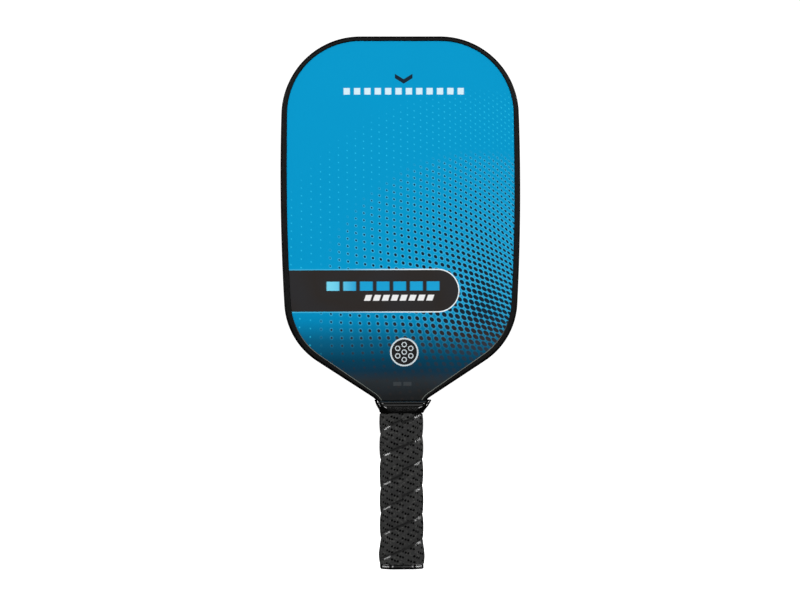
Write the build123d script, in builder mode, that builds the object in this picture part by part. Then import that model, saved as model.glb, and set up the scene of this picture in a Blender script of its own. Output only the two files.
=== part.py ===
"""Pickleball paddle: a honeycomb-cored sandwich panel with an edge guard and a wrapped octagonal handle.

The paddle stands on its butt. +Z runs from the butt to the tip, X goes across the blade, and the front face
looks along -Y. The origin is the centre of the butt's flat end. Lengths are in millimetres, angles in degrees.
"""

import math
import os

from build123d import *

# ---- Silhouette: the outer edge of the edge guard -------------------------------------------------------
overall_length = 419.1
blade_width = 188.8
widest_height = 303.4
side_bow_radius = 1730.0
corner_radius = 62.0
shoulder_radius = 57.0
throat_angle = 57.0  # between the straight throat edges and the paddle's axis
neck_height = 130.9  # where the throat edges, run on straight, would meet the neck's sides
neck_radius = 8.0

# ---- Panel layers, from the middle out --------------------------------------------------------------------
core_thickness = 12.2
scrim_thickness = 0.2
adhesive_thickness = 0.15
face_thickness = 0.6
graphic_thickness = 0.1
cell_size = 12.0  # across the flats
cell_wall = 0.5
core_rim = 0.4  # closed edge left round the core's cells
smallest_cell_area = 6.0  # cut cells at the rim smaller than this stay solid
tongue_width = 28.2  # the panel's tongue, inside the handle
tongue_end_height = 4.6
heel_width = 25.0  # the tongue's end, inside the butt cap's skirt

# ---- Edge guard: a U-channel round the panel's rim --------------------------------------------------------
guard_floor = 1.5
guard_bond_thickness = 0.2
guard_seen_width = 4.2
guard_lip_thickness = 1.1
guard_outer_radius = 1.9
guard_lip_radius = 0.7
guard_end_height = 128.6

# ---- Handle: an octagon built up on the panel's tongue ----------------------------------------------------
handle_width = 29.0
handle_depth = 27.0
side_flat = 14.4
handle_corner_radius = 2.0
pallet_bond_thickness = 0.15
pallet_slope_height = 122.6
pallet_top_height = 128.2
depth_slope = 0.67  # half the handle's depth lost per millimetre of height, above the slope's start

# ---- Butt cap --------------------------------------------------------------------------------------------
cap_plate_thickness = 3.9
cap_plate_overhang = 2.6
cap_skirt_thickness = 1.3
cap_flare = 1.0
cap_flare_start_height = 9.0
cap_flare_end_height = 21.0
cap_skirt_height = 26.0
cap_foot_radius = 0.8
badge_radius = 10.0
badge_thickness = 0.7
badge_recess_depth = 0.9
badge_clearance = 0.1

# ---- Staples through the cap's skirt into the pallets ------------------------------------------------------
staple_height = 15.0
staple_surface = 13.95  # from the middle plane to a crown's outer side, just under the skirt's surface
staple_crown = 8.0
staple_wire = 0.6
staple_leg = 5.0
staple_clearance = 0.02

# ---- Grip, tape and collar --------------------------------------------------------------------------------
grip_adhesive_thickness = 0.15
grip_backing_thickness = 1.2
grip_skin_thickness = 0.85
grip_squeeze_start = 119.0  # the grip thins from here to slide under the collar
grip_squeeze_end = 121.8
grip_squeeze_ratio = 0.6
grip_top_height = 127.0
tape_bottom_height = 123.4
tape_thickness = 0.2
collar_bottom_height = 122.7
collar_top_height = 132.9
collar_wall = 0.85
collar_clearance = 0.05
collar_top_width = 44.8
collar_top_depth = 19.8
collar_top_bevel = 3.0
collar_mouth_width = 39.6
collar_mouth_depth = 16.7
collar_mouth_bevel = 1.5
collar_corner_radius = 1.0

# ---- Worked out from the above ----------------------------------------------------------------------------
scrim_out = core_thickness / 2 + scrim_thickness
adhesive_out = scrim_out + adhesive_thickness
face_out = adhesive_out + face_thickness
graphic_out = face_out + graphic_thickness
guard_out = graphic_out + guard_lip_thickness
pallet_bond_out = face_out + pallet_bond_thickness
guard_margin = guard_floor + guard_bond_thickness
handle_bevel = (handle_depth - side_flat) / 2
grip_backing_grow = grip_adhesive_thickness + grip_backing_thickness
grip_grow = grip_backing_grow + grip_skin_thickness
squeezed_grow = grip_grow * grip_squeeze_ratio
collar_inner_grow = squeezed_grow + tape_thickness + collar_clearance
octagon_growth = math.tan(math.radians(22.5))  # how far an octagon's flat grows at each end per unit of offset
fit_gap = 0.02

FRONT = Plane.XZ  # local x is X, local y is Z, and its normal looks out of the front face


# ---- Silhouette -------------------------------------------------------------------------------------------
def bowed_side_x(z):
    """Half the silhouette's width at height z, on the bowed side run on past its rounded ends."""
    centre_x = blade_width / 2 - side_bow_radius
    return centre_x + math.sqrt(side_bow_radius**2 - (z - widest_height) ** 2)


def throat_x(z, neck_x):
    """Half the silhouette's width at height z, on the straight throat edge run on past its ends."""
    return neck_x + (z - neck_height) * math.tan(math.radians(throat_angle))


def shoulder_height(neck_x):
    """The height where the bowed side and the straight throat edge would cross, found by halving."""
    low, high = neck_height, widest_height
    for _ in range(60):
        middle = (low + high) / 2
        if throat_x(middle, neck_x) < bowed_side_x(middle):
            low = middle
        else:
            high = middle
    return low


def corners_at(face, height):
    """The face's corners at one height."""
    return [corner for corner in face.vertices() if abs(corner.Y - height) < 1]


def silhouette():
    """The paddle's outer edge as a face in local (x, z), with the neck run on down round the tongue."""
    neck_x = tongue_width / 2 + guard_margin
    foot_z = tongue_end_height - guard_margin
    shoulder_z = shoulder_height(neck_x)
    shoulder = (bowed_side_x(shoulder_z), shoulder_z)
    top_corner = (bowed_side_x(overall_length), overall_length)
    with BuildSketch() as face:
        with BuildLine():
            Line((0, foot_z), (neck_x, foot_z))
            Line((neck_x, foot_z), (neck_x, neck_height))
            Line((neck_x, neck_height), shoulder)
            ThreePointArc(shoulder, (blade_width / 2, widest_height), top_corner)
            Line(top_corner, (0, overall_length))
            Line((0, overall_length), (0, foot_z))
        make_face()
        mirror(about=Plane.YZ)
        fillet([corner for corner in corners_at(face, overall_length) if abs(corner.X) > 1], corner_radius)
        fillet(corners_at(face, shoulder_z), shoulder_radius)
        fillet(corners_at(face, neck_height), neck_radius)
    return face.sketch


def inset(face, amount):
    """A copy of a face with its edge moved in by amount."""
    with BuildSketch() as smaller:
        add(face)
        offset(amount=-amount)
    return smaller.sketch


def narrowed_heel(face, width):
    """A copy of a panel outline whose tongue is cut to width inside the butt cap's skirt."""
    with BuildSketch() as narrowed:
        add(face)
        for side in (-1, 1):
            with Locations((side * (width + blade_width) / 2, 0)):
                Rectangle(blade_width, 2 * (cap_skirt_height + fit_gap), mode=Mode.SUBTRACT)
    return narrowed.sketch


def above(face, height):
    """A copy of a face with everything below a height cut away."""
    with BuildSketch() as upper:
        add(face)
        with Locations((0, height)):
            Rectangle(2 * blade_width, 2 * height, align=(Align.CENTER, Align.MAX), mode=Mode.SUBTRACT)
    return upper.sketch


outer_outline = silhouette()
guard_cavity_outline = inset(outer_outline, guard_floor)
guard_window_outline = inset(outer_outline, guard_seen_width)
panel_outline = narrowed_heel(inset(outer_outline, guard_margin), heel_width)
cell_outline = inset(panel_outline, core_rim)
graphic_outline = above(panel_outline, pallet_top_height + fit_gap)


# ---- Handle sections --------------------------------------------------------------------------------------
def bevelled_section(height, half_x, half_y, flat_x, flat_y, radius):
    """A rectangle with bevelled corners as a sketch at a height. flat_x and flat_y are where its bevels start."""
    corners = [(half_x, flat_y), (flat_x, half_y), (-flat_x, half_y), (-half_x, flat_y)]
    corners += [(-x, -y) for x, y in corners]
    with BuildSketch(Plane.XY.offset(height)) as section:
        Polygon(*corners, align=None)
        fillet(section.vertices(), radius)
    return section.sketch


def depth_loss(height):
    """How much half the handle's depth has shrunk at a height, on the pallets' slope."""
    return max(0.0, height - pallet_slope_height) * depth_slope


def octagon(height, grow=0.0):
    """The handle's section at a height, offset outward by grow."""
    half_x = handle_width / 2 + grow
    half_y = handle_depth / 2 + grow - depth_loss(height)
    flat_x = handle_width / 2 - handle_bevel + grow * octagon_growth
    flat_y = side_flat / 2 + grow * octagon_growth
    return bevelled_section(height, half_x, half_y, flat_x, flat_y, handle_corner_radius + grow)


def grip_sections(grow):
    """The sections of the surface that lies a nominal grow above the handle, from the cap's plate to the top."""
    squeezed = grow * grip_squeeze_ratio
    return [
        octagon(cap_plate_thickness + fit_gap, grow + cap_flare),
        octagon(cap_flare_start_height, grow + cap_flare),
        octagon(cap_flare_end_height, grow),
        octagon(grip_squeeze_start, grow),
        octagon(grip_squeeze_end, squeezed),
        octagon(pallet_slope_height, squeezed),
        octagon(grip_top_height, squeezed),
    ]


# ---- Panel ------------------------------------------------------------------------------------------------
def make_core():
    """Hexagonal cells through the blade and the handle's tongue, inside a thin closed edge."""
    columns = math.ceil(blade_width / (cell_size * math.sqrt(3) / 2)) + 2
    rows = math.ceil(overall_length / cell_size) + 2
    with BuildSketch() as whole_cell:
        RegularPolygon((cell_size - cell_wall) / 2, 6, major_radius=False)
    cells = []
    with BuildSketch():
        with Locations((0, overall_length / 2)):
            with HexLocations(cell_size / 2, columns, rows) as grid:
                for place in grid.locations:
                    cut_cell = cell_outline.face().intersect(whole_cell.sketch.face().moved(place))
                    if cut_cell:
                        cells += cut_cell.faces()
    holes = [cell.outer_wire() for cell in cells if cell.area > smallest_cell_area]
    with BuildPart() as core:
        with BuildSketch(FRONT.offset(-core_thickness / 2)):
            add(Face(panel_outline.face().outer_wire(), holes))
        extrude(amount=core_thickness)
    core.part.label = "honeycomb_core"
    return core


def make_layer(label, outline, near, thickness, side):
    """One flat layer of the panel, from near to near + thickness off the panel's middle plane."""
    with BuildPart() as sheet:
        with BuildSketch(FRONT.offset(side * near)):
            add(outline)
        extrude(amount=side * thickness)
    sheet.part.label = label
    return sheet


def make_panel_layers():
    """The layers bonded to the core's front and back."""
    layers = []
    for name, side in (("front", 1), ("back", -1)):
        layers += [
            make_layer("core_scrim_" + name, panel_outline, core_thickness / 2, scrim_thickness, side),
            make_layer("adhesive_film_" + name, panel_outline, scrim_out, adhesive_thickness, side),
            make_layer("face_sheet_" + name, panel_outline, adhesive_out, face_thickness, side),
            make_layer("graphic_film_" + name, graphic_outline, face_out, graphic_thickness, side),
        ]
    return layers


# ---- Edge guard -------------------------------------------------------------------------------------------
def make_edge_guard():
    """The U-channel that wraps the panel's rim, open at the neck."""
    with BuildPart() as guard:
        with BuildSketch(FRONT.offset(-guard_out)):
            add(outer_outline)
        extrude(amount=2 * guard_out)
        fillet(guard.faces().filter_by(Axis.Y).edges(), guard_outer_radius)
        with BuildSketch(FRONT.offset(-graphic_out)):
            add(guard_cavity_outline)
        extrude(amount=2 * graphic_out, mode=Mode.SUBTRACT)
        with BuildSketch(FRONT.offset(-guard_out)):
            add(guard_window_outline)
        extrude(amount=2 * guard_out, mode=Mode.SUBTRACT)
        for lip in (guard.faces().sort_by(Axis.Y)[0], guard.faces().sort_by(Axis.Y)[-1]):
            fillet(lip.inner_wires()[0].edges(), guard_lip_radius)
        split(bisect_by=Plane.XY.offset(guard_end_height), keep=Keep.TOP)
    guard.part.label = "edge_guard"
    return guard


def make_guard_bond():
    """The bond line between the panel's rim and the guard's floor."""
    with BuildPart() as bond:
        with BuildSketch(FRONT.offset(-graphic_out)):
            add(above(guard_cavity_outline, guard_end_height))
            add(panel_outline, mode=Mode.SUBTRACT)
        extrude(amount=2 * graphic_out)
    bond.part.label = "edge_guard_bond"
    return bond


# ---- Handle -----------------------------------------------------------------------------------------------
def staple_boxes(clearance, mode):
    """Both staples in the current part: a crown along X on each face, with two legs that run inward."""
    wire = staple_wire + 2 * clearance
    leg_x = (staple_crown - staple_wire) / 2
    for side in (-1, 1):
        crown_y = side * (staple_surface - staple_wire / 2)
        leg_y = side * (staple_surface - staple_leg / 2)
        with Locations((0, crown_y, staple_height)):
            Box(staple_crown + 2 * clearance, wire, wire, mode=mode)
        with Locations((-leg_x, leg_y, staple_height), (leg_x, leg_y, staple_height)):
            Box(wire, staple_leg + 2 * clearance, wire, mode=mode)


def make_front_pallet():
    """The foam half of the handle on the front, rebated for the cap's skirt and sloped under the collar."""
    rebate_grow = -cap_skirt_thickness - fit_gap
    shoulder_z = cap_skirt_height + fit_gap
    shank = [octagon(shoulder_z), octagon(pallet_slope_height), octagon(grip_top_height), octagon(pallet_top_height)]
    with BuildPart() as pallet:
        loft(shank, ruled=True)
        loft([octagon(tongue_end_height, rebate_grow), octagon(shoulder_z, rebate_grow)], ruled=True)
        staple_boxes(staple_clearance, Mode.SUBTRACT)
        with Locations((0, -pallet_bond_out, 0)):
            Box(handle_width, handle_depth, 2 * overall_length, align=(Align.CENTER, Align.MAX, Align.CENTER),
                mode=Mode.INTERSECT)
    pallet.part.label = "handle_pallet_front"
    return pallet


def make_back_pallet(front_pallet):
    """The front pallet's twin on the back."""
    with BuildPart() as pallet:
        mirror(front_pallet.part, about=Plane.XZ)
    pallet.part.label = "handle_pallet_back"
    return pallet


def make_pallet_bond(name, side):
    """The bond line between the panel's tongue and one pallet."""
    with BuildSketch() as pad:
        add(panel_outline)
        with Locations((0, pallet_top_height)):
            Rectangle(tongue_width, 2 * pallet_top_height, align=(Align.CENTER, Align.MAX), mode=Mode.INTERSECT)
    return make_layer("pallet_bond_" + name, pad.sketch, face_out, pallet_bond_thickness, side)


# ---- Butt cap ---------------------------------------------------------------------------------------------
def make_butt_cap():
    """The plate across the butt, with the skirt that flares out over the handle's end."""
    skirt = [
        octagon(cap_plate_thickness, cap_flare),
        octagon(cap_flare_start_height, cap_flare),
        octagon(cap_flare_end_height),
        octagon(cap_skirt_height),
    ]
    bore = [octagon(cap_plate_thickness, -cap_skirt_thickness), octagon(cap_skirt_height, -cap_skirt_thickness)]
    with BuildPart() as cap:
        with BuildSketch():
            add(octagon(0, cap_plate_overhang))
        extrude(amount=cap_plate_thickness)
        fillet(cap.faces().sort_by(Axis.Z)[0].edges(), cap_foot_radius)
        loft(skirt, ruled=True)
        loft(bore, ruled=True, mode=Mode.SUBTRACT)
        with BuildSketch():
            Circle(badge_radius + badge_clearance)
        extrude(amount=badge_recess_depth, mode=Mode.SUBTRACT)
        staple_boxes(staple_clearance, Mode.SUBTRACT)
    cap.part.label = "butt_cap"
    return cap


def make_staples():
    """The two staples that pin the cap's skirt to the pallets, one on each face."""
    with BuildPart() as staples:
        staple_boxes(0, Mode.ADD)
    staples.part.label = "butt_cap_staples"
    return staples


def make_badge():
    """The round badge that sits in the recess under the butt, clear of the ground."""
    with BuildPart() as badge:
        with BuildSketch(Plane.XY.offset(badge_recess_depth - badge_thickness)):
            Circle(badge_radius)
        extrude(amount=badge_thickness)
    badge.part.label = "butt_badge"
    return badge


# ---- Grip and collar --------------------------------------------------------------------------------------
def make_sleeve(label, outer_sections, inner_sections):
    """A closed sleeve between two sets of sections."""
    with BuildPart() as sleeve:
        loft(outer_sections, ruled=True)
        loft(inner_sections, ruled=True, mode=Mode.SUBTRACT)
    sleeve.part.label = label
    return sleeve


def make_grip_layers():
    """The grip's adhesive, cushion and skin, each one a sleeve over the last."""
    surfaces = [0, grip_adhesive_thickness, grip_backing_grow, grip_grow]
    labels = ["grip_adhesive", "grip_backing", "grip_wrap"]
    return [
        make_sleeve(label, grip_sections(outer), grip_sections(inner))
        for label, inner, outer in zip(labels, surfaces, surfaces[1:])
    ]


def make_finishing_tape():
    """The band of tape round the grip's top end."""
    heights = (tape_bottom_height, grip_top_height)
    outer = [octagon(height, squeezed_grow + tape_thickness) for height in heights]
    inner = [octagon(height, squeezed_grow) for height in heights]
    return make_sleeve("finishing_tape", outer, inner)


def collar_mouth(width, depth, bevel):
    """A section at the collar's top, where it lies flat against the blade."""
    half_x = width / 2
    half_y = depth / 2
    return bevelled_section(
        collar_top_height, half_x, half_y, half_x - bevel, half_y - bevel, collar_corner_radius
    )


def make_collar():
    """The flared collar that hides the grip's top end and the throat."""
    outer = [
        octagon(collar_bottom_height, collar_inner_grow + collar_wall),
        collar_mouth(collar_top_width, collar_top_depth, collar_top_bevel),
    ]
    inner = [
        octagon(collar_bottom_height, collar_inner_grow),
        collar_mouth(collar_mouth_width, collar_mouth_depth, collar_mouth_bevel),
    ]
    return make_sleeve("grip_collar", outer, inner)


# ---- The whole paddle -------------------------------------------------------------------------------------
front_pallet = make_front_pallet()
pieces = [make_core(), *make_panel_layers(), make_edge_guard(), make_guard_bond()]
pieces += [front_pallet, make_back_pallet(front_pallet)]
pieces += [make_pallet_bond("front", 1), make_pallet_bond("back", -1)]
pieces += [make_butt_cap(), make_staples(), make_badge()]
pieces += [*make_grip_layers(), make_finishing_tape(), make_collar()]

os.makedirs("parts", exist_ok=True)
for piece in pieces:
    export_step(piece.part, "parts/" + piece.part.label + ".step")
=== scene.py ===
import math

import bmesh
import bpy
import numpy as np
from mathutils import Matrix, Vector


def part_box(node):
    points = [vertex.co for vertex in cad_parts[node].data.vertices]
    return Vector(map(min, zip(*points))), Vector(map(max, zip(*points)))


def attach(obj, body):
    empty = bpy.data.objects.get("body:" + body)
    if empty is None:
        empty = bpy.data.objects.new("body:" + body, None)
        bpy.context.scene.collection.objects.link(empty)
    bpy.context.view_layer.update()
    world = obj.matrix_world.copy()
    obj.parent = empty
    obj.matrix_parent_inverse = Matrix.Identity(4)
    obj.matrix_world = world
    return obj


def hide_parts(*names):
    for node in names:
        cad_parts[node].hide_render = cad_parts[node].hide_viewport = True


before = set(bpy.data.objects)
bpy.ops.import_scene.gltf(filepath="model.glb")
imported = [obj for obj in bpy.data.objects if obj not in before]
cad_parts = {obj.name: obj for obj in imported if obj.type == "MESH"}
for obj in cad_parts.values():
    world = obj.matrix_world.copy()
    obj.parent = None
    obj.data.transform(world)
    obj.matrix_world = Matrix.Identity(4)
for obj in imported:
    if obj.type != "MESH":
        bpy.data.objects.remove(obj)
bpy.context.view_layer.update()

MM = 0.001


def cad_box(node):
    """The lowest and highest corners of a CAD node, in millimetres."""
    low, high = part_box(node)
    return low / MM, high / MM


guard_low, guard_high = cad_box("edge_guard")
film_low = cad_box("graphic_film_front")[0]
wrap_low, wrap_high = cad_box("grip_wrap")
collar_low, collar_high = cad_box("grip_collar")
cap_high = cad_box("butt_cap")[1]
badge_low, badge_high = cad_box("butt_badge")
pallet_low, pallet_high = cad_box("handle_pallet_front")


# ==== Shader fields ========================================================================================
class Field:
    """A number worked out by shader nodes, so that patterns are written as ordinary arithmetic."""

    def __init__(self, tree, socket):
        self.tree = tree
        self.socket = socket

    def apply(self, operation, *others):
        """This field put through one math node, with numbers or fields as its other inputs."""
        node = self.tree.nodes.new("ShaderNodeMath")
        node.operation = operation
        for slot, value in zip(node.inputs, (self, *others)):
            if isinstance(value, Field):
                self.tree.links.new(value.socket, slot)
            else:
                slot.default_value = value
        return Field(self.tree, node.outputs[0])

    def constant(self, value):
        node = self.tree.nodes.new("ShaderNodeValue")
        node.outputs[0].default_value = value
        return Field(self.tree, node.outputs[0])

    def __add__(self, other):
        return self.apply("ADD", other)

    def __radd__(self, other):
        return self.apply("ADD", other)

    def __sub__(self, other):
        return self.apply("SUBTRACT", other)

    def __rsub__(self, other):
        return self.constant(other).apply("SUBTRACT", self)

    def __mul__(self, other):
        return self.apply("MULTIPLY", other)

    def __rmul__(self, other):
        return self.apply("MULTIPLY", other)

    def __truediv__(self, other):
        return self.apply("DIVIDE", other)

    def abs(self):
        return self.apply("ABSOLUTE")

    def above(self, other):
        """The larger of this field and another."""
        return self.apply("MAXIMUM", other)

    def below(self, other):
        """The smaller of this field and another."""
        return self.apply("MINIMUM", other)

    def nearest_gap(self):
        """Signed distance to the nearest whole number."""
        return self - self.apply("ROUND")

    def smooth(self, low, high):
        """0 below low and 1 above high, with a soft step between. low may be the larger."""
        node = self.tree.nodes.new("ShaderNodeMapRange")
        node.interpolation_type = "SMOOTHSTEP"
        self.tree.links.new(self.socket, node.inputs["Value"])
        node.inputs["From Min"].default_value = min(low, high)
        node.inputs["From Max"].default_value = max(low, high)
        node.inputs["To Min"].default_value = 0.0 if low < high else 1.0
        node.inputs["To Max"].default_value = 1.0 if low < high else 0.0
        return Field(self.tree, node.outputs["Result"])


def length(a, b):
    return (a * a + b * b).apply("SQRT")


def linear(red, green, blue):
    """An sRGB colour given 0 to 255, as the linear RGBA that shaders use."""
    shares = [value / 255 for value in (red, green, blue)]
    bent = [value / 12.92 if value <= 0.04045 else ((value + 0.055) / 1.055) ** 2.4 for value in shares]
    return (*bent, 1.0)


class Finish:
    """A material under construction: its node tree, its shader and the object's coordinates in mm."""

    def __init__(self, name, roughness=0.5, specular=0.5):
        self.material = bpy.data.materials.new(name)
        self.material.use_nodes = True
        self.tree = self.material.node_tree
        self.shader = self.tree.nodes["Principled BSDF"]
        self.shader.inputs["Roughness"].default_value = roughness
        self.shader.inputs["Specular IOR Level"].default_value = specular
        place = self.tree.nodes.new("ShaderNodeTexCoord")
        split = self.tree.nodes.new("ShaderNodeSeparateXYZ")
        self.tree.links.new(place.outputs["Object"], split.inputs[0])
        self.place = place.outputs["Object"]
        self.x, self.y, self.z = (Field(self.tree, socket) * (1 / MM) for socket in split.outputs)

    def noise(self, grain, detail=3.0, stretch=(1, 1, 1)):
        """Noise between about 0 and 1 whose blobs are grain millimetres across, before stretch."""
        mapping = self.tree.nodes.new("ShaderNodeMapping")
        mapping.inputs["Scale"].default_value = [1 / (MM * grain * s) for s in stretch]
        node = self.tree.nodes.new("ShaderNodeTexNoise")
        node.inputs["Scale"].default_value = 1.0
        node.inputs["Detail"].default_value = detail
        self.tree.links.new(self.place, mapping.inputs["Vector"])
        self.tree.links.new(mapping.outputs[0], node.inputs["Vector"])
        return Field(self.tree, node.outputs[0])

    def cells(self, grain):
        """Distance to the edges of irregular cells grain millimetres across, as leather and foam have."""
        mapping = self.tree.nodes.new("ShaderNodeMapping")
        mapping.inputs["Scale"].default_value = [1 / (MM * grain)] * 3
        node = self.tree.nodes.new("ShaderNodeTexVoronoi")
        node.feature = "DISTANCE_TO_EDGE"
        node.inputs["Scale"].default_value = 1.0
        self.tree.links.new(self.place, mapping.inputs["Vector"])
        self.tree.links.new(mapping.outputs[0], node.inputs["Vector"])
        return Field(self.tree, node.outputs["Distance"])

    def attribute(self, name):
        """A number stored on the mesh's points."""
        node = self.tree.nodes.new("ShaderNodeAttribute")
        node.attribute_name = name
        return Field(self.tree, node.outputs["Fac"])

    def colour(self, rgba):
        node = self.tree.nodes.new("ShaderNodeRGB")
        node.outputs[0].default_value = rgba
        return node.outputs[0]

    def mix(self, share, under, over):
        """Colour under with colour over laid on it, by a field between 0 and 1."""
        node = self.tree.nodes.new("ShaderNodeMix")
        node.data_type = "RGBA"
        self.tree.links.new(share.socket, node.inputs["Factor"])
        for socket, value in zip([s for s in node.inputs if s.type == "RGBA"], (under, over)):
            if isinstance(value, tuple):
                value = self.colour(value)
            self.tree.links.new(value, socket)
        return [s for s in node.outputs if s.type == "RGBA"][0]

    def paint(self, colour_socket):
        self.tree.links.new(colour_socket, self.shader.inputs["Base Color"])

    def rough(self, field):
        self.tree.links.new(field.socket, self.shader.inputs["Roughness"])

    def shine(self, field):
        self.tree.links.new(field.socket, self.shader.inputs["Specular IOR Level"])

    def bump(self, field, depth):
        """Bumps the surface by a field between 0 and 1, depth millimetres high."""
        node = self.tree.nodes.new("ShaderNodeBump")
        node.inputs["Strength"].default_value = 1.0
        node.inputs["Distance"].default_value = depth * MM
        self.tree.links.new(field.socket, node.inputs["Height"])
        self.tree.links.new(node.outputs[0], self.shader.inputs["Normal"])


# ==== The printed faces ====================================================================================
BAND_LOW, BAND_HIGH, BAND_END = 202.3, 235.5, 45.8
PRINT_SHIFT = 0.4  # the print sits this far to the left of the blade's middle
NARROWING = 0.02938  # how much narrower the halftone's columns get per millimetre
PRINT_FADE = [  # height and colour of the print from the throat up
    (136, (31, 31, 30)),
    (148, (40, 46, 50)),
    (156, (14, 49, 69)),
    (164, (3, 60, 85)),
    (180, (4, 93, 129)),
    (195, (0, 133, 182)),
    (212, (2, 150, 202)),
    (420, (3, 151, 202)),
]


def fade_ramp(finish, height):
    """The print's ground colour at a height."""
    low, high = PRINT_FADE[0][0], PRINT_FADE[-1][0]
    node = finish.tree.nodes.new("ShaderNodeValToRGB")
    stops = node.color_ramp.elements
    while len(stops) < len(PRINT_FADE):
        stops.new(0.5)
    for stop, (stop_height, colour) in zip(stops, PRINT_FADE):
        stop.position = (stop_height - low) / (high - low)
        stop.color = linear(*colour)
    finish.tree.links.new(((height - low) / (high - low)).socket, node.inputs["Fac"])
    return node.outputs["Color"]


def halftone(x, z):
    """Shares of pale dots, of dark dots, and of the pale rings round the dark ones.

    The dots sit on a bent lattice. Its columns narrow towards the right and lean right in the lower half;
    its rows slope down to the right, less so lower down. reach is 0 where the dark dots are largest.
    """
    leaning = (285 - z).above(0.0)
    column_x = x - leaning * leaning * (0.00075 + 0.000012 * x)
    column_width = (5.465 - NARROWING * column_x).above(2.2)
    column = column_width.apply("LOGARITHM", math.e) * (-1 / NARROWING) + 57.708
    row_height = 5.391 - 0.00914 * x
    below = (256 - z).above(0.0)
    slope = 1 - below * 0.0045
    row_line = 273.42 - x * slope * (0.2432 + x * (0.000827 + x * 0.0000138))
    row = (z - row_line) / row_height
    row_gap = row.nearest_gap() * row_height * (1 - below * 0.0025)
    gap = length(column.nearest_gap() * column_width, row_gap)
    reach = length((x - 62) / 122, (z - 203) / 119)
    dark_radius = (1.92 - reach * 1.37) * (column_width / 3.7).below(1.0)
    dark_here = reach.smooth(1.08, 0.98)
    dark = (gap - dark_radius).smooth(0.18, -0.18) * dark_here
    ring = (gap - dark_radius - 0.42).abs().smooth(0.42, 0.1) * dark_here
    pale_here = reach.smooth(1.5, 1.36) * reach.smooth(1.02, 1.14)
    pale = (gap - 0.5).smooth(0.25, -0.25) * pale_here
    fade_out = z.smooth(152, 186)
    return pale * 0.5, dark * (0.25 + fade_out * 0.75), ring * z.smooth(164, 206) * 0.22


def slanted_bars(x, z, centre_x, centre_z, width, height, count, filled, slant):
    """A row of upright bars, sheared by slant: generic blocks in place of wording."""
    along = (x - centre_x - (z - centre_z) * slant) / width
    off_bar = (along * count + count / 2 - 0.5).nearest_gap().abs()
    bars = off_bar.smooth(filled / 2 + 0.05, filled / 2 - 0.05)
    inside = along.abs().smooth(0.502, 0.498)
    tall = ((z - centre_z).abs() - height / 2).smooth(0.12, -0.12)
    return bars * inside * tall


def ball_badge(x, z, centre_x, centre_z, radius):
    """A plain ball seen from the front: a ring line with a hexagon of holes round one in the middle."""
    dx = x - centre_x
    dz = z - centre_z
    ring = (length(dx, dz) - radius).abs()
    spots = length(dx, dz)
    spread = 0.56 * radius
    for turn in range(6):
        angle = math.radians(60 * turn + 30)
        spots = spots.below(length(dx - spread * math.cos(angle), dz - spread * math.sin(angle)))
    disc = (length(dx, dz) - radius).smooth(0.1, -0.1)
    line = ring.smooth(0.75, 0.45).above((spots - 1.75).abs().smooth(0.5, 0.22))
    return disc, line.below(1.0)


def printed_face(name, side):
    """The blue print with its halftone dots and dark band. side is 1 on the front and -1 on the back."""
    finish = Finish(name, roughness=0.5, specular=0.02)
    x = finish.x * side + PRINT_SHIFT
    z = finish.z
    colour = fade_ramp(finish, z)
    pale, dark, ring = halftone(x, z)
    colour = finish.mix(pale, colour, linear(54, 219, 255))
    colour = finish.mix(ring, colour, linear(120, 228, 255))
    ink = finish.mix(z.smooth(175, 205), linear(52, 40, 34), linear(22, 34, 44))
    colour = finish.mix(dark, colour, ink)

    band_radius = (BAND_HIGH - BAND_LOW) / 2
    band_middle = (BAND_HIGH + BAND_LOW) / 2
    band = length((x - (BAND_END - band_radius)).above(0.0), z - band_middle) - band_radius
    edge = finish.mix(x.smooth(-60, 25), linear(60, 178, 220), linear(235, 246, 250))
    colour = finish.mix((band - 0.4).smooth(0.35, -0.05), colour, edge)
    colour = finish.mix((band + 0.3).smooth(0.2, -0.2), colour, linear(46, 42, 40))
    blocks = slanted_bars(x, z, -13.9, 222.6, 92, 7.2, 7, 0.76, 0.0)
    block_colour = finish.mix(x.smooth(-58, -30), linear(120, 215, 240), linear(28, 160, 212))
    colour = finish.mix(blocks, colour, block_colour)
    dashes = slanted_bars(x, z, -1.2, 213.4, 56, 4.6, 8, 0.7, 0.35)
    colour = finish.mix(dashes, colour, linear(238, 238, 238))

    tip_line = slanted_bars(x, z, 3.0, 375.9, 98, 5.2, 12, 0.6, 0.0)
    colour = finish.mix(tip_line, colour, linear(214, 238, 248))
    arm = (x - 3).abs()
    chevron = (arm * 0.62 - (z - 383.6)).abs().smooth(1.9, 1.6) * arm.smooth(7.1, 6.8)
    colour = finish.mix(chevron, colour, linear(24, 38, 50))

    disc, line = ball_badge(x, z, 2.6, 170.6, 10.6)
    colour = finish.mix(disc, colour, linear(34, 32, 32))
    colour = finish.mix(line, colour, linear(205, 216, 220))
    faint = slanted_bars(x, z, 1.0, 145.6, 16, 3.0, 2, 0.8, 0.0)
    colour = finish.mix(faint * 0.35, colour, linear(80, 84, 86))

    cloud = finish.noise(60, 2.0)
    colour = finish.mix((cloud - 0.5).abs() * 0.12, colour, linear(0, 120, 170))
    finish.paint(colour)
    grit = finish.noise(0.55, 2.0)
    finish.rough(0.44 + grit * 0.16)
    finish.bump(grit, 0.02)
    return finish.material


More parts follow.
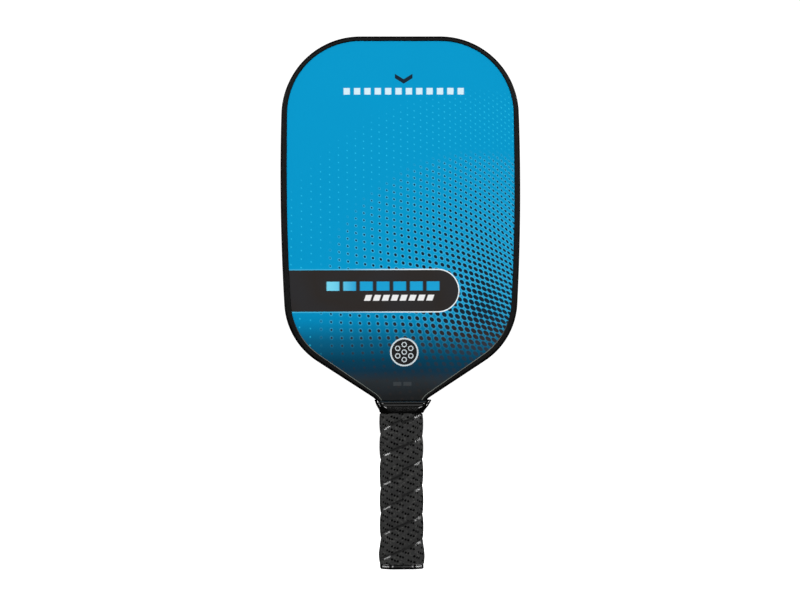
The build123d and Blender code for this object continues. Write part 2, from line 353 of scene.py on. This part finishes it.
# ==== Other finishes =======================================================================================
def moulded(name, dark, light, roughness, specular, grain, depth):
    """A moulded plastic or rubber: a fine grain, and cloudy changes in colour and shine."""
    finish = Finish(name, specular=specular)
    cloud = finish.noise(14, 3.0)
    fine = finish.noise(grain, 2.0)
    finish.paint(finish.mix(cloud.smooth(0.3, 0.75), linear(*dark), linear(*light)))
    finish.rough(roughness + (cloud - 0.5) * 0.16 + (fine - 0.5) * 0.12)
    finish.bump(fine, depth)
    return finish.material


def guard_plastic():
    """The guard's black plastic, with a pale highlight painted along its lip's inner edge near the throat.
    """
    finish = Finish("guard_plastic", specular=0.09)
    cloud = finish.noise(14, 3.0)
    fine = finish.noise(0.6, 2.0)
    colour = finish.mix(cloud.smooth(0.3, 0.75), linear(3, 3, 3), linear(9, 9, 9))
    # Painted highlight: a pale grey line on the lip's inner edge, fading out above the throat.
    painted_lip_highlight = finish.attribute("lip").smooth(0.35, 0.8) * finish.z.smooth(200, 172)
    finish.paint(finish.mix(painted_lip_highlight * (0.55 + cloud * 0.7), colour, linear(112, 117, 112)))
    finish.rough(0.4 + (cloud - 0.5) * 0.16 + (fine - 0.5) * 0.12)
    finish.bump(fine, 0.015)
    return finish.material


def leather(name):
    """The grip's skin: pebbled synthetic leather, with shade painted into its holes and seams.

    The seams are rubbed shiny on the bevels at the handle's sides, and dull on its front and back.
    """
    finish = Finish(name)
    pebble = finish.cells(0.75).smooth(0.0, 0.32)
    fine = finish.noise(0.25, 3.0)
    cloud = finish.noise(9, 3.0)
    hole = finish.attribute("hole")
    seam = finish.attribute("seam")
    colour = finish.mix(cloud.smooth(0.3, 0.7), linear(43, 43, 43), linear(55, 55, 54))
    colour = finish.mix(pebble, linear(38, 38, 38), colour)
    # Pale specks: partly mottled leather tone, partly painted highlight glints on the pebbles.
    mottle_and_glints = finish.noise(1.7, 2.0)
    colour = finish.mix(mottle_and_glints.smooth(0.52, 0.72) * 0.6, colour, linear(78, 78, 76))
    # Painted shade: the seam grooves darkened nearly to black.
    colour = finish.mix(seam.smooth(0.25, 0.85) * 0.75, colour, linear(8, 8, 8))
    # Painted shade: the holes darkened nearly to black.
    colour = finish.mix(hole.smooth(0.1, 0.7), colour, linear(3, 3, 3))
    finish.paint(colour)
    shine = seam.smooth(0.08, 0.4) * finish.x.abs().smooth(8.6, 10.4) * finish.x.abs().smooth(15.4, 13.8)
    finish.rough(0.6 + fine * 0.1 - pebble * 0.05 - shine * 0.3 + hole * 0.3)
    finish.shine(0.14 + shine * 0.8 - hole * 0.14)
    finish.bump(pebble * 0.75 + fine * 0.25, 0.035)
    return finish.material


def weave(name, dark, light, thread):
    """A flat woven cloth set in resin: threads over and under along X and Z."""
    finish = Finish(name, specular=0.4)
    warp = (finish.x / thread).apply("SINE").abs()
    weft = (finish.z / thread).apply("SINE").abs()
    over = ((finish.x / thread).apply("SINE") * (finish.z / thread).apply("SINE")).smooth(-0.15, 0.15)
    strand = warp * over + weft * (1 - over)
    finish.paint(finish.mix(strand, linear(*dark), linear(*light)))
    finish.rough(0.55 - strand * 0.2 + finish.noise(0.6) * 0.1)
    finish.bump(strand, 0.05)
    return finish.material


def felted(name, dark, light):
    """Matted fibres."""
    finish = Finish(name, specular=0.2)
    fibres = finish.noise(0.5, 5.0, (3, 3, 0.6))
    finish.paint(finish.mix(fibres.smooth(0.3, 0.7), linear(*dark), linear(*light)))
    finish.rough(0.8 + fibres * 0.15)
    finish.bump(fibres, 0.12)
    return finish.material


def foamed(name, dark, light):
    """Closed-cell foam."""
    finish = Finish(name, specular=0.3)
    bubbles = finish.cells(0.6).smooth(0.0, 0.3)
    finish.paint(finish.mix(bubbles, linear(*dark), linear(*light)))
    finish.rough(0.85 - bubbles * 0.2)
    finish.bump(bubbles, 0.15)
    return finish.material


def drawn_wire(name):
    """Bright drawn steel, with fine lines along the wire."""
    finish = Finish(name, specular=0.5)
    lines = finish.noise(0.08, 2.0, (40, 1, 1))
    finish.shader.inputs["Metallic"].default_value = 1.0
    finish.paint(finish.mix(lines, linear(150, 150, 152), linear(205, 205, 208)))
    finish.rough(0.25 + lines * 0.2)
    finish.bump(lines, 0.01)
    return finish.material


node_finish = {
    "honeycomb_core": moulded("core_polymer", (205, 208, 204), (228, 230, 226), 0.4, 0.4, 0.8, 0.02),
    "graphic_film_front": printed_face("print_front", 1),
    "graphic_film_back": printed_face("print_back", -1),
    "edge_guard_bond": moulded("guard_glue", (188, 184, 165), (206, 203, 188), 0.5, 0.4, 0.9, 0.03),
    "butt_cap_staples": drawn_wire("staple_steel"),
    "grip_adhesive": moulded("grip_tape_adhesive", (206, 196, 160), (222, 214, 184), 0.45, 0.4, 0.5, 0.02),
    "grip_backing": felted("grip_felt", (36, 36, 36), (58, 58, 57)),
    "finishing_tape": weave("tape", (12, 12, 12), (30, 30, 30), 0.12),
}
for side_name in ("front", "back"):
    node_finish["core_scrim_" + side_name] = felted("scrim_" + side_name, (205, 205, 196), (232, 232, 226))
    node_finish["adhesive_film_" + side_name] = moulded(
        "film_adhesive_" + side_name, (150, 122, 60), (184, 156, 92), 0.3, 0.5, 0.7, 0.02
    )
    node_finish["face_sheet_" + side_name] = weave(
        "face_laminate_" + side_name, (22, 24, 26), (62, 64, 68), 0.7
    )
    node_finish["handle_pallet_" + side_name] = foamed(
        "pallet_foam_" + side_name, (176, 152, 96), (222, 202, 150)
    )
    node_finish["pallet_bond_" + side_name] = moulded(
        "bond_glue_" + side_name, (150, 130, 84), (176, 156, 108), 0.35, 0.5, 0.6, 0.03
    )


# ==== Mesh helpers =========================================================================================
def finished_piece(name, mesh_data, material, slot, *nodes):
    """Turns bmesh data in millimetres into a smooth object that rides on the paddle in place of nodes."""
    bmesh.ops.scale(mesh_data, vec=(MM, MM, MM), verts=mesh_data.verts)
    bmesh.ops.recalc_face_normals(mesh_data, faces=mesh_data.faces)
    if mesh_data.calc_volume(signed=True) < 0:
        bmesh.ops.reverse_faces(mesh_data, faces=mesh_data.faces)
    for face in mesh_data.faces:
        face.smooth = True
    mesh = bpy.data.meshes.new(name)
    mesh_data.to_mesh(mesh)
    mesh_data.free()
    mesh.materials.append(material)
    piece = bpy.data.objects.new(name, mesh)
    bpy.context.scene.collection.objects.link(piece)
    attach(piece, "root")
    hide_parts(*nodes)
    return piece


def sharpen(piece, angle):
    """Keeps edges that turn more than angle degrees crisp under smooth shading."""
    for edge_angle, edge in edges_with_angle(piece.data):
        edge.use_edge_sharp = edge_angle > math.radians(angle)


def edges_with_angle(mesh):
    """Each edge of a mesh with the angle between its two faces."""
    mesh_data = bmesh.new()
    mesh_data.from_mesh(mesh)
    mesh_data.edges.ensure_lookup_table()
    angles = [edge.calc_face_angle(0.0) for edge in mesh_data.edges]
    mesh_data.free()
    return zip(angles, mesh.edges)


def skin(mesh_data, rings, close_rings=True):
    """Joins each ring of points to the next with quads, and returns the rings as vertices."""
    rows = [[mesh_data.verts.new(point) for point in ring] for ring in rings]
    for lower, upper in zip(rows, rows[1:]):
        count = len(lower)
        for i in range(count if close_rings else count - 1):
            j = (i + 1) % count
            mesh_data.faces.new((lower[i], lower[j], upper[j], upper[i]))
    return rows


def bevelled_ring(count, half_x, half_y, flat_x, flat_y, radius):
    """Evenly spaced points and outward normals round a rectangle with bevelled, rounded corners.

    They start at the middle of the front (-Y) and run towards +X.
    """
    corners = [(flat_x, -half_y), (half_x, -flat_y), (half_x, flat_y), (flat_x, half_y)]
    corners += [(-x, -y) for x, y in corners]
    points, normals = [], []
    for i, corner in enumerate(corners):
        corner = np.array(corner)
        before = corner - corners[i - 1]
        after = np.array(corners[(i + 1) % len(corners)]) - corner
        start = math.atan2(before[1], before[0]) - math.pi / 2
        turn = (math.atan2(after[1], after[0]) - math.pi / 2 - start) % (2 * math.pi)
        middle = start + turn / 2
        centre = corner - np.array((math.cos(middle), math.sin(middle))) * radius / math.cos(turn / 2)
        for step in range(7):
            angle = start + turn * step / 6
            normal = np.array((math.cos(angle), math.sin(angle)))
            points.append(centre + normal * radius)
            normals.append(normal)
    front = np.array((0.0, -half_y))
    down = np.array((0.0, -1.0))
    points = np.array([front, *points, front])
    normals = np.array([down, *normals, down])
    travelled = np.concatenate([[0], np.cumsum(np.linalg.norm(np.diff(points, axis=0), axis=1))])
    wanted = np.arange(count) * travelled[-1] / count
    ring = np.stack([np.interp(wanted, travelled, points[:, axis]) for axis in (0, 1)], axis=1)
    facing = np.stack([np.interp(wanted, travelled, normals[:, axis]) for axis in (0, 1)], axis=1)
    return ring, facing / np.linalg.norm(facing, axis=1)[:, None], travelled[-1]


# The handle's section: its width and depth come from the frame, and the side flats are the part's own.
HANDLE_X = pallet_high.x
HANDLE_Y = -pallet_low.y
SIDE_FLAT = 14.4
BEVEL = HANDLE_Y - SIDE_FLAT / 2
FLAT_GROWTH = math.tan(math.radians(22.5))


def handle_ring(count, grow):
    """A ring round the handle, grow millimetres outside its bare surface."""
    corner_radius = max(0.4, 2.0 + grow)
    return bevelled_ring(
        count,
        HANDLE_X + grow,
        HANDLE_Y + grow,
        HANDLE_X - BEVEL + grow * FLAT_GROWTH,
        SIDE_FLAT / 2 + grow * FLAT_GROWTH,
        corner_radius,
    )


# ==== Edge guard ===========================================================================================
def arc(centre, radius, start, end, steps):
    """Points and outward normals on an arc, by angles in degrees."""
    angles = np.radians(np.linspace(start, end, steps))
    normals = np.stack([np.cos(angles), np.sin(angles)], axis=1)
    return np.array(centre) + radius * normals, normals


def rim_path():
    """The guard's outer edge in (x, z), with outward normals, from the neck's left round to its right.

    It is the part's own outline, but with a softer turn into the neck.
    """
    half_width = guard_high.x
    top = guard_high.z
    widest = 303.4
    bow, corner, shoulder, neck = 1730.0, 62.0, 57.0, 16.0  # radii
    throat = 57.0  # degrees between the throat's edges and the paddle's axis
    neck_x = 15.8
    neck_z = 130.9
    bow_centre = np.array((half_width - bow, widest))
    along = np.array((math.sin(math.radians(throat)), math.cos(math.radians(throat))))
    outward = np.array((along[1], -along[0]))
    corner_z = top - corner
    corner_x = bow_centre[0] + math.sqrt((bow - corner) ** 2 - (corner_z - widest) ** 2)
    corner_start = math.degrees(math.atan2(corner_z - widest, corner_x - bow_centre[0]))
    inner_line = np.array((neck_x, neck_z)) - outward * shoulder - bow_centre
    reach = -inner_line @ along + math.sqrt(
        (inner_line @ along) ** 2 - inner_line @ inner_line + (bow - shoulder) ** 2
    )
    shoulder_centre = bow_centre + inner_line + along * reach
    shoulder_end = math.degrees(math.atan2(*(shoulder_centre - bow_centre)[::-1]))
    neck_centre = (neck_x + neck, neck_z - neck * math.tan(math.radians(throat / 2)))
    neck_top = 180 - throat
    end_angle = 180 - math.degrees(math.asin((guard_low.z - neck_centre[1]) / neck))
    neck_points, neck_normals = arc(neck_centre, neck, end_angle, neck_top, 9)
    stretches = [
        (neck_points, -neck_normals),
        arc(shoulder_centre, shoulder, -throat, shoulder_end, 40),
        arc(bow_centre, bow, shoulder_end, corner_start, 40),
        arc((corner_x, corner_z), corner, corner_start, 90, 56),
    ]
    right_points = np.concatenate([points[:-1] for points, _ in stretches] + [stretches[-1][0][-1:]])
    right_normals = np.concatenate([normals[:-1] for _, normals in stretches] + [stretches[-1][1][-1:]])
    mirror = np.array((-1.0, 1.0))
    points = np.concatenate([right_points * mirror, right_points[::-1]])
    normals = np.concatenate([right_normals * mirror, right_normals[::-1]])
    return points, normals


def guard_profile(seen):
    """The channel's section as (inset from the outer edge, depth), round the whole closed loop.

    seen is how wide its lip lies on the printed face.
    """
    lip_top, film = guard_high.y, -film_low.y
    lip = [(seen, film + 0.02), (seen + 0.02, lip_top - 0.62), (seen - 0.1, lip_top - 0.3)]
    lip += [(seen - 0.34, lip_top - 0.08), (seen - 0.68, lip_top), (seen - 1.0, lip_top - 0.02)]
    lip += [(2.5, lip_top - 0.02)]
    outer_radius = 1.9
    for step in range(9):
        angle = math.radians(90 * step / 8)
        inset = outer_radius * (1 - math.sin(angle))
        lip.append((inset, lip_top - outer_radius * (1 - math.cos(angle))))
    far_half = [(inset, -depth) for inset, depth in [(0.0, 3.0)] + lip[::-1]]
    outside = lip + [(0.0, 3.0), (0.0, 0.0)] + far_half
    cavity = 1.5
    inside = [(cavity, -(film + 0.02)), (cavity, 0.0), (cavity, film + 0.02)]
    return outside + inside


def make_edge_channel():
    """The guard as one swept channel, with a rolled lip that lies on each printed face."""
    points, normals = rim_path()
    lips = np.interp(points[:, 1], (131, 145, 165, 210, 330, 400), (3.4, 4.4, 5.2, 4.8, 4.6, 3.7))
    mesh_data = bmesh.new()
    lip_layer = mesh_data.verts.layers.float.new("lip")
    rings = []
    for (x, z), (normal_x, normal_z), seen in zip(points, normals, lips):
        profile = guard_profile(seen)
        rings.append([(x - normal_x * inset, depth, z - normal_z * inset) for inset, depth in profile])
    rows = skin(mesh_data, rings)
    for row, seen in zip(rows, lips):
        for vertex, (inset, _) in zip(row, guard_profile(seen)):
            vertex[lip_layer] = float(inset > seen - 0.36)
    mesh_data.faces.new(rows[0])
    mesh_data.faces.new(rows[-1])
    piece = finished_piece("edge_channel", mesh_data, guard_plastic(), "guard_plastic", "edge_guard")
    sharpen(piece, 50)


# ==== Grip =================================================================================================
SEAM_HEIGHTS = [15.7, 35.1, 57.9, 78.4, 96.6, 115.4]  # where the seams cross the middle of the front
SEAM_PITCH = 19.7
COLUMNS = 272
ROWS_PER_SEAM = 52
SEAMS_ROUND = 2  # seams the strip climbs in one turn
FRONT_CLIMB = 0.8  # the seams run steeper over the front and back than over the sides
HOLE_RADIUS = 0.74
HOLE_CELLS_ROUND = 26
HOLE_CELL_HEIGHT = 10.2
HOLE_CELL_CLIMB = 8 * HOLE_CELL_HEIGHT / HOLE_CELLS_ROUND
HOLE_PLACES = [(-2.0, 61.2), (-4.1, 62.2), (-4.1, 57.5)]  # the punched pattern: three holes to a cell
SKIN_GROW = 2.2  # the skin's outside, from the handle's bare surface
FLARE_START, FLARE_END = 9.0, 21.0  # heights between which the butt cap's skirt narrows
FLARE = 0.95
SQUEEZE_START, SQUEEZE_END = 119.0, 121.8  # heights between which the cushion thins, under the collar
SLOPE_START = 122.6  # the handle slopes in to the blade above this height
DEPTH_SLOPE = 0.67


def seam_to_height(seams):
    """Height on the front's middle of a place counted in seams, run on evenly past both ends."""
    before = [SEAM_HEIGHTS[0] - SEAM_PITCH * k for k in (3, 2, 1)]
    after = [SEAM_HEIGHTS[-1] + SEAM_PITCH * k for k in (1, 2, 3)]
    heights = before + SEAM_HEIGHTS + after
    return np.interp(seams, np.arange(len(heights)) - 3, heights)


def smoothstep(value, low, high):
    share = np.clip((value - low) / (high - low), 0, 1)
    return share * share * (3 - 2 * share)


def punch_holes(along, height, perimeter, seam_gap):
    """Moves points near a hole's rim onto it, and returns their new place, depth in a hole and darkness."""
    cell_width = perimeter / HOLE_CELLS_ROUND
    distance = np.full_like(height, np.inf)
    centre_along, centre_height = along, height
    for first_along, first_height in HOLE_PLACES:
        cell = np.round((along - first_along) / cell_width)
        level = first_height + cell * HOLE_CELL_CLIMB
        hole_along = first_along + cell * cell_width
        hole_height = level + np.round((height - level) / HOLE_CELL_HEIGHT) * HOLE_CELL_HEIGHT
        gap = np.hypot(along - hole_along, height - hole_height)
        nearer = gap < distance
        centre_along = np.where(nearer, hole_along, centre_along)
        centre_height = np.where(nearer, hole_height, centre_height)
        distance = np.where(nearer, gap, distance)
    off_along = along - centre_along
    off_height = height - centre_height
    distance = np.maximum(distance, 1e-9)
    present = seam_gap > 1.1
    near_rim = present & (np.abs(distance - HOLE_RADIUS) < 0.2)
    scale = np.where(near_rim, HOLE_RADIUS / distance, 1.0)
    inward = HOLE_RADIUS - distance * scale
    deep = np.where(present, smoothstep(inward, 0.02, 0.2), 0.0)
    dark = np.where(present, smoothstep(inward, -0.12, 0.08), 0.0)
    return centre_along + off_along * scale, centre_height + off_height * scale, deep, dark


def strip_relief(seams, pitch):
    """How far the skin stands above the handle between seams, and how close to a seam each point is."""
    share = seams - np.floor(seams)
    above = share * pitch
    below = (1 - share) * pitch
    lap = 1 - smoothstep(above, 0.0, 0.9)
    dip = (1 - smoothstep(below, 0.0, 3.2)) ** 1.3
    pillow = 1 - (2 * share - 1) ** 2
    stands = SKIN_GROW - 0.2 + 0.7 * pillow - 0.6 * np.maximum(lap, dip)
    return stands, np.minimum(above, below), np.maximum(lap, dip)


def make_spiral_grip():
    """The wound strip: one skin with climbing seams, pillowed between them and punched with holes."""
    ring, facing, perimeter = handle_ring(COLUMNS, SKIN_GROW)
    base = wrap_low.z
    top = wrap_high.z - 0.2
    rows = np.arange(-4 * ROWS_PER_SEAM, 9 * ROWS_PER_SEAM)
    mesh_data = bmesh.new()
    hole_layer = mesh_data.verts.layers.float.new("hole")
    seam_layer = mesh_data.verts.layers.float.new("seam")
    columns = []
    for i in range(COLUMNS):
        turn = i / COLUMNS
        seams = rows / ROWS_PER_SEAM
        climb = SEAMS_ROUND * SEAM_PITCH * turn + FRONT_CLIMB * math.sin(4 * math.pi * turn)
        height = seam_to_height(seams) + climb
        inside = (height > base + 0.15) & (height < top - 0.15)
        seams, height, kept_rows = seams[inside], height[inside], rows[inside]
        relief, seam_gap, closeness = strip_relief(seams, SEAM_PITCH)
        along = np.full_like(height, turn * perimeter)
        along, height, deep, dark = punch_holes(along, height, perimeter, seam_gap)
        relief = relief - 0.5 * deep
        column = {}
        for row, a, z, r, hole, seam in zip(kept_rows, along, height, relief, dark, closeness):
            column[row] = grip_vertex(mesh_data, ring, facing, perimeter, a, z, r)
            column[row][hole_layer] = hole
            column[row][seam_layer] = seam
        columns.append(column)
    close_strip(mesh_data, columns, base, top)
    piece = finished_piece("spiral_grip", mesh_data, leather("grip_skin"), "grip_skin", "grip_wrap")
    sharpen(piece, 62)


def grip_vertex(mesh_data, ring, facing, perimeter, along, height, grow):
    """A point on the handle: along the perimeter, at a height, grow outside the bare surface."""
    place = along / perimeter * COLUMNS
    left = int(math.floor(place))
    share = place - left
    point = ring[left % COLUMNS] * (1 - share) + ring[(left + 1) % COLUMNS] * share
    normal = facing[left % COLUMNS] * (1 - share) + facing[(left + 1) % COLUMNS] * share
    out = grow - SKIN_GROW + butt_flare(height) - throat_squeeze(height)
    x, y = point + normal * out
    return mesh_data.verts.new((x, y, height))


def butt_flare(height):
    """How much further out the grip stands over the butt cap's skirt."""
    return FLARE * (1 - float(smoothstep(height, FLARE_START, FLARE_END)))


def throat_squeeze(height):
    """How much the grip is pressed in where it runs under the collar."""
    return 0.9 * float(smoothstep(height, 121.6, 122.8)) + 0.62 * max(0.0, height - SLOPE_START)


def close_strip(mesh_data, columns, base, top):
    """Joins neighbouring columns along the seams' slope, then closes both ends with rims and a lining."""
    low_ring, high_ring = [], []
    for column in columns:
        lowest, highest = column[min(column)], column[max(column)]
        for rim, height, like in ((low_ring, base, lowest), (high_ring, top, highest)):
            rim.append(mesh_data.verts.new((like.co.x, like.co.y, height)))
    for i in range(COLUMNS):
        j = (i + 1) % COLUMNS
        shift = 0 if j else SEAMS_ROUND * ROWS_PER_SEAM
        here, there = columns[i], {row - shift: vertex for row, vertex in columns[j].items()}
        shared = sorted(set(here) & set(there))
        for row in shared[:-1]:
            mesh_data.faces.new((here[row], there[row], there[row + 1], here[row + 1]))
        stitch(mesh_data, here, there, shared[0], low_ring[i], low_ring[j], -1)
        stitch(mesh_data, here, there, shared[-1], high_ring[i], high_ring[j], 1)
    add_lining(mesh_data, low_ring, high_ring)


def stitch(mesh_data, here, there, shared_row, rim_here, rim_there, step):
    """Fills the strip's ragged end between two columns with one many-sided face."""
    loop = [rim_here]
    row = max(here) if step > 0 else min(here)
    while row != shared_row:
        loop.append(here[row])
        row -= step
    loop += [here[shared_row], there[shared_row]]
    row = shared_row + step
    while row in there:
        loop.append(there[row])
        row += step
    loop.append(rim_there)
    mesh_data.faces.new(loop)


def add_lining(mesh_data, low_ring, high_ring):
    """The grip's inner surface, just outside the cushion, joined to both rims."""
    steps = [wrap_low.z, FLARE_START, FLARE_END, SQUEEZE_START, 122.0, wrap_high.z - 0.2]
    rings = [low_ring]
    for height in steps:
        thinned = 0.54 * float(smoothstep(height, SQUEEZE_START, SQUEEZE_END))
        lining, _, _ = handle_ring(COLUMNS, 1.37 + butt_flare(height) / FLARE - thinned)
        depth_scale = 1 - DEPTH_SLOPE * max(0.0, height - SLOPE_START) / HANDLE_Y
        rings.append([mesh_data.verts.new((x, y * depth_scale, height)) for x, y in lining])
    rings.append(high_ring)
    for lower, upper in zip(rings, rings[1:]):
        for i in range(COLUMNS):
            j = (i + 1) % COLUMNS
            mesh_data.faces.new((lower[i], lower[j], upper[j], upper[i]))


# ==== Collar ===============================================================================================
def collar_ring(share, grow, rise):
    """A ring of the collar at a share of its height, grow outside its skin, lifted by rise millimetres."""
    half_widths = (HANDLE_X + 2.42, 17.7, 20.1, collar_high.x - 0.1)
    half_depths = (HANDLE_Y + 2.3, 15.6, 15.1, 14.0, 13.7, 13.4, 11.9, 9.9)
    half_x = np.interp(share, (0.0, 0.23, 0.57, 1.0), half_widths) + grow
    half_y = np.interp(share, (0.0, 0.45, 0.56, 0.69, 0.77, 0.82, 0.95, 1.0), half_depths) + grow
    bevel = 4.6 - 1.6 * share
    height = collar_low.z + (collar_high.z - collar_low.z) * share + rise
    ring, _, _ = bevelled_ring(120, half_x, half_y, half_x - bevel, half_y - bevel, 1.6 * bevel)
    lean = 0.2 + 1.2 * share  # its mouth is stretched a little to the right
    return [(x + lean, y, height) for x, y in ring]


def make_flared_collar():
    """The glossy collar: a rolled bottom lip, a shallow waist line and a thin mouth against the blade."""
    wall = 0.8
    outer = [(0.0, -0.55, 0.0), (0.0, -0.12, 0.05), (0.04, 0.0, 0.0)]
    outer += [(share, 0.0, 0.0) for share in (0.22, 0.34, 0.45, 0.5, 0.56, 0.6, 0.65, 0.69, 0.73, 0.77)]
    outer += [(share, 0.0, 0.0) for share in (0.82, 0.86, 0.91, 0.95, 0.985)]
    outer += [(1.0, -0.2, 0.0)]
    inner = [(1.0, -wall, -0.05)]
    inner += [(share, -wall, 0.0) for share in (0.8, 0.5, 0.2)]
    inner += [(0.0, -wall, 0.05)]
    mesh_data = bmesh.new()
    rings = [collar_ring(*step) for step in outer + inner]
    rows = skin(mesh_data, rings)
    for i in range(len(rows[0])):
        j = (i + 1) % len(rows[0])
        mesh_data.faces.new((rows[-1][i], rows[-1][j], rows[0][j], rows[0][i]))
    material = moulded("collar_rubber", (2, 2, 2), (5, 5, 5), 0.15, 0.8, 1.2, 0.01)
    piece = finished_piece("flared_collar", mesh_data, material, "collar_rubber", "grip_collar")
    sharpen(piece, 60)


# ==== Butt =================================================================================================
def make_butt_plate():
    """The cap: a plate with a soft foot and rim, a round recess below, and a skirt inside the grip."""
    recess = badge_high.x + 0.12
    count = 144
    plate_top = wrap_low.z - 0.06
    angle = np.arange(count) * 2 * math.pi / count - math.pi / 2
    circle = np.stack([np.cos(angle), np.sin(angle)], axis=1)

    def round_ring(radius, height):
        return [(x * radius, y * radius, height) for x, y in circle]

    def edge_ring(grow, height):
        return [(x, y, height) for x, y in handle_ring(count, grow)[0]]

    rings = [round_ring(0.02, 0.95), round_ring(recess - 0.5, 0.95), round_ring(recess, 0.9)]
    rings += [round_ring(recess, 0.25), round_ring(recess + 0.25, 0.0), round_ring(recess + 1.2, 0.0)]
    rings += [edge_ring(1.7, 0.0), edge_ring(2.2, 0.12), edge_ring(2.52, 0.42), edge_ring(2.6, 0.8)]
    rings += [edge_ring(2.6, 2.6), edge_ring(2.5, 2.8), edge_ring(2.5, 3.1), edge_ring(2.6, 3.3)]
    rings += [edge_ring(2.52, plate_top - 0.15), edge_ring(2.3, plate_top), edge_ring(0.98, plate_top)]
    rings += [edge_ring(0.98, FLARE_START), edge_ring(0.0, FLARE_END), edge_ring(0.0, cap_high.z)]
    rings += [edge_ring(-1.28, cap_high.z), edge_ring(-1.28, plate_top), round_ring(0.02, plate_top)]
    mesh_data = bmesh.new()
    rows = skin(mesh_data, rings)
    mesh_data.faces.new(rows[0])
    mesh_data.faces.new(rows[-1])
    material = moulded("cap_plastic", (8, 8, 8), (14, 14, 14), 0.2, 0.7, 0.5, 0.01)
    piece = finished_piece("butt_plate", mesh_data, material, "cap_plastic", "butt_cap")
    sharpen(piece, 40)


def make_badge_disc():
    """The blank badge: a shallow dome with two turned rings."""
    radius, low, high = badge_high.x, badge_low.z, badge_high.z
    steps = [(0.02, low), (3.0, low + 0.01), (6.2, low + 0.05), (6.5, low + 0.17), (6.8, low + 0.06)]
    steps += [(8.2, low + 0.1), (8.45, low + 0.22), (8.7, low + 0.12), (radius - 0.3, low + 0.16)]
    steps += [(radius, low + 0.32), (radius, high), (0.02, high)]
    mesh_data = bmesh.new()
    rings = []
    for ring_radius, height in steps:
        angles = [2 * math.pi * k / 128 for k in range(128)]
        rings.append([(ring_radius * math.cos(a), ring_radius * math.sin(a), height) for a in angles])
    rows = skin(mesh_data, rings)
    mesh_data.faces.new(rows[0])
    mesh_data.faces.new(rows[-1])
    material = moulded("badge_plastic", (24, 24, 26), (36, 36, 38), 0.22, 0.5, 2.0, 0.01)
    piece = finished_piece("badge_disc", mesh_data, material, "badge_plastic", "butt_badge")
    sharpen(piece, 50)


# ==== Studio ===============================================================================================
def make_backdrop():
    """A pale floor that curves up into a wall well behind the paddle."""
    finish = Finish("backdrop_paper", roughness=0.9, specular=0.1)
    finish.paint(finish.mix(finish.noise(300, 2.0), linear(246, 246, 246), linear(250, 250, 250)))
    finish.shader.inputs["Emission Color"].default_value = linear(255, 255, 255)
    finish.shader.inputs["Emission Strength"].default_value = 0.8
    profile = [(-1000, 0)]
    for angle in range(0, 91, 5):
        turn = math.radians(angle)
        profile.append((4000 + 1500 * math.sin(turn), 1500 - 1500 * math.cos(turn)))
    profile.append((5500, 5000))
    mesh_data = bmesh.new()
    skin(mesh_data, [[(x, y, z - 0.05) for y, z in profile] for x in (-5000, 5000)], close_rings=False)
    bmesh.ops.scale(mesh_data, vec=(MM, MM, MM), verts=mesh_data.verts)
    for face in mesh_data.faces:
        face.smooth = True
    mesh = bpy.data.meshes.new("backdrop")
    mesh_data.to_mesh(mesh)
    mesh_data.free()
    mesh.materials.append(finish.material)
    backdrop = bpy.data.objects.new("backdrop", mesh)
    bpy.context.scene.collection.objects.link(backdrop)
    backdrop.visible_diffuse = False
    backdrop.visible_glossy = False


def area_light(name, place, aim, size, watts):
    """A soft rectangular lamp, sizes and places in metres."""
    lamp = bpy.data.lights.new(name, "AREA")
    lamp.shape = "RECTANGLE"
    lamp.size, lamp.size_y = size
    lamp.energy = watts
    lamp_object = bpy.data.objects.new(name, lamp)
    lamp_object.location = place
    lamp_object.visible_camera = False
    lamp_object.rotation_euler = (Vector(aim) - Vector(place)).to_track_quat("-Z", "Y").to_euler()
    bpy.context.scene.collection.objects.link(lamp_object)
    return lamp_object


def make_world():
    """An even surround, white to the camera and dim in reflections so that black plastic stays black."""
    world = bpy.data.worlds.new("studio")
    world.use_nodes = True
    tree = world.node_tree
    background = tree.nodes["Background"]
    background.inputs["Color"].default_value = (1, 1, 1, 1)
    path = tree.nodes.new("ShaderNodeLightPath")
    glossy = Field(tree, path.outputs["Is Glossy Ray"])
    seen = Field(tree, path.outputs["Is Camera Ray"])
    tree.links.new((0.25 - glossy * 0.24 + seen * 0.85).socket, background.inputs["Strength"])
    bpy.context.scene.world = world


def make_camera():
    """Nearly square on to the front: a little round to the paddle's left, and rolled by a hair."""
    distance = 3.2
    frame_width = 0.631
    aim_x, height = -0.0006, 0.2116
    turn = math.radians(3.0)
    roll = math.radians(0.22)
    camera = bpy.data.cameras.new("camera")
    camera.sensor_width = 36
    camera.lens = camera.sensor_width * distance / frame_width
    camera_object = bpy.data.objects.new("camera", camera)
    camera_object.location = (aim_x - distance * math.sin(turn), -distance * math.cos(turn), height)
    camera_object.rotation_euler = (math.radians(90), roll, -turn)
    bpy.context.scene.collection.objects.link(camera_object)
    bpy.context.scene.camera = camera_object


# ==== The scene ============================================================================================
for node_name, material in node_finish.items():
    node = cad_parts[node_name]
    node.data.materials.clear()
    node.data.materials.append(material)

make_edge_channel()
make_spiral_grip()
make_flared_collar()
make_butt_plate()
make_badge_disc()
make_backdrop()
make_world()
# Two of each: a broad key in front, a small lamp at the side and a low one level with the collar.
for hand in (-1, 1):
    name_end = "left" if hand < 0 else "right"
    area_light("key_" + name_end, (hand * 0.9, -2.4, 0.9), (0, 0, 0.2), (0.9, 1.2), 29.4)
    area_light("side_" + name_end, (hand * 1.25, 0.15, 0.72), (0, 0, 0.1), (0.24, 0.16), 6)
    area_light("low_" + name_end, (hand * 1.3, 0.0, 0.16), (0, 0, 0.1), (0.14, 0.2), 1.8)
area_light("ceiling", (0, -0.5, 2.4), (0, 0, 0.2), (1.6, 1.6), 4)
area_light("back", (0, 2.0, 1.0), (0, 0, 0.2), (1.4, 1.0), 24).visible_glossy = False
make_camera()
bpy.context.scene.view_settings.view_transform = "Standard"
